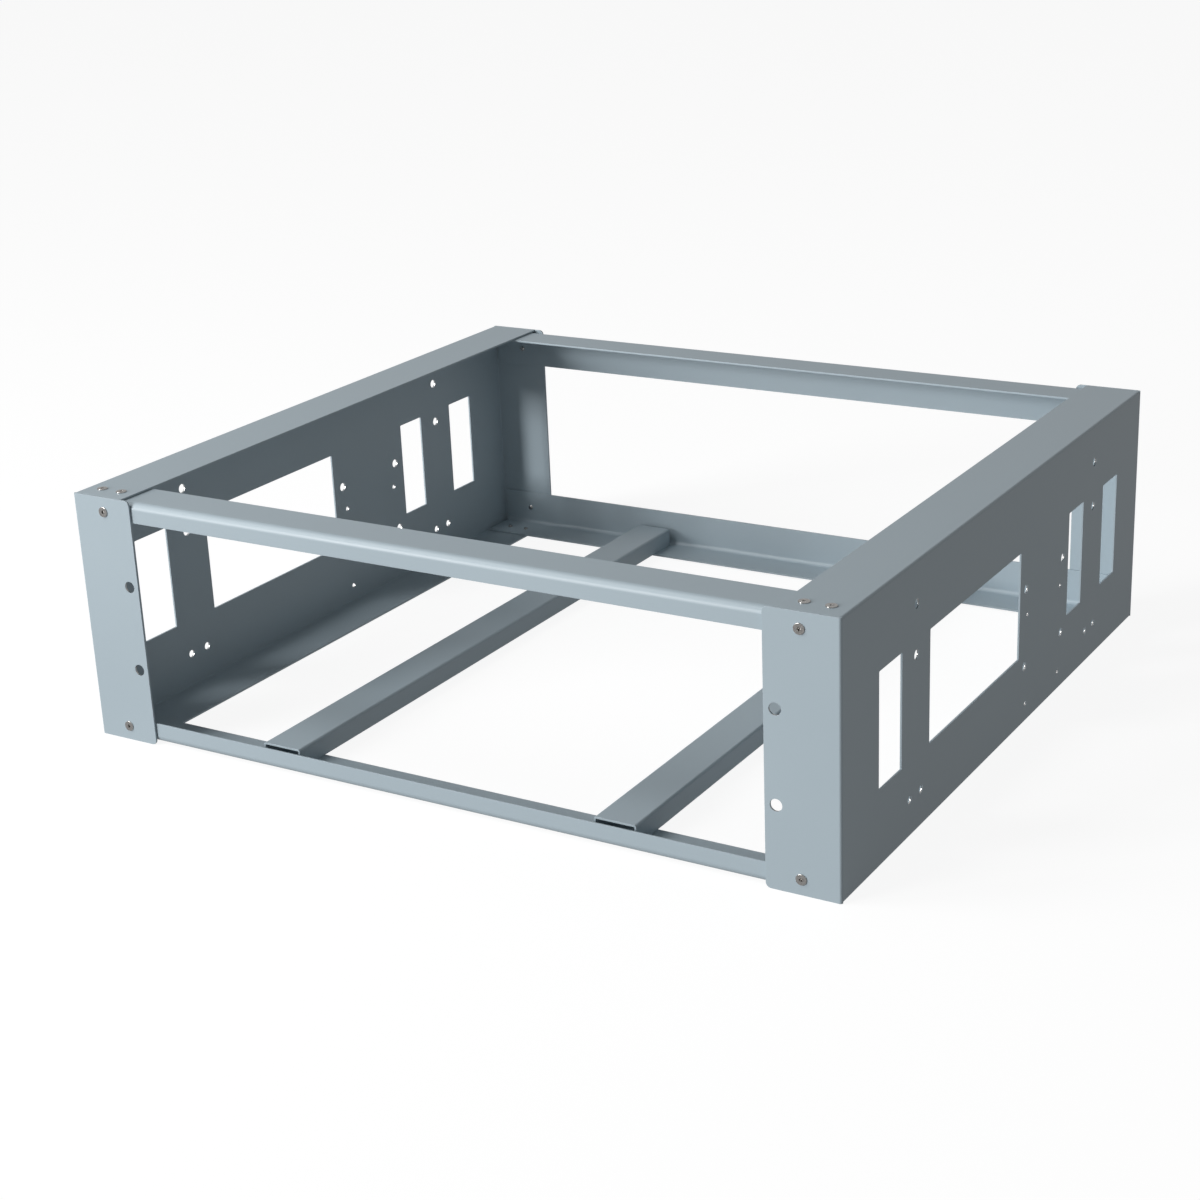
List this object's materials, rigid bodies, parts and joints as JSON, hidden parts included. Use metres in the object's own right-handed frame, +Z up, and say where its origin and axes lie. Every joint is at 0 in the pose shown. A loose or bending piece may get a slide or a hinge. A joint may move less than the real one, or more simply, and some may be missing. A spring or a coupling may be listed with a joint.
{
  "type": "battery rack",
  "caption": "Low open rack of folded sheet steel: two flanged side panels with windows, joined by angle bars, and two channel rails for block batteries.",
  "frame": {"origin": "middle of the base, on the floor", "axes": "+X to the right seen from the front, +Y from the front to the rear, +Z up"},
  "size_m": [0.792, 0.724, 0.247],
  "materials": {
    "powder_coat": "satin blue-grey powder coat on folded sheet steel",
    "screw_steel": "bare zinc-plated steel"
  },
  "bodies": {
    "root": {"left_side_panel": "powder_coat", "right_side_panel": "powder_coat", "front_top_bar": "powder_coat", "front_base_bar": "powder_coat", "rear_top_bar": "powder_coat", "rear_base_bar": "powder_coat", "left_rail": "powder_coat", "right_rail": "powder_coat", "front_screw_left_top": "screw_steel", "front_screw_left_base": "screw_steel", "front_screw_right_top": "screw_steel", "front_screw_right_base": "screw_steel", "rear_screw_left_top": "screw_steel", "rear_screw_left_base": "screw_steel", "rear_screw_right_top": "screw_steel", "rear_screw_right_base": "screw_steel", "top_screw_left_outer": "screw_steel", "top_screw_left_inner": "screw_steel", "top_screw_right_outer": "screw_steel", "top_screw_right_inner": "screw_steel", "base_screw_front_left_outer": "screw_steel", "base_screw_front_left_inner": "screw_steel", "base_screw_front_right_outer": "screw_steel", "base_screw_front_right_inner": "screw_steel", "base_screw_rear_left_outer": "screw_steel", "base_screw_rear_left_inner": "screw_steel", "base_screw_rear_right_outer": "screw_steel", "base_screw_rear_right_inner": "screw_steel"}
  },
  "joints": []
}
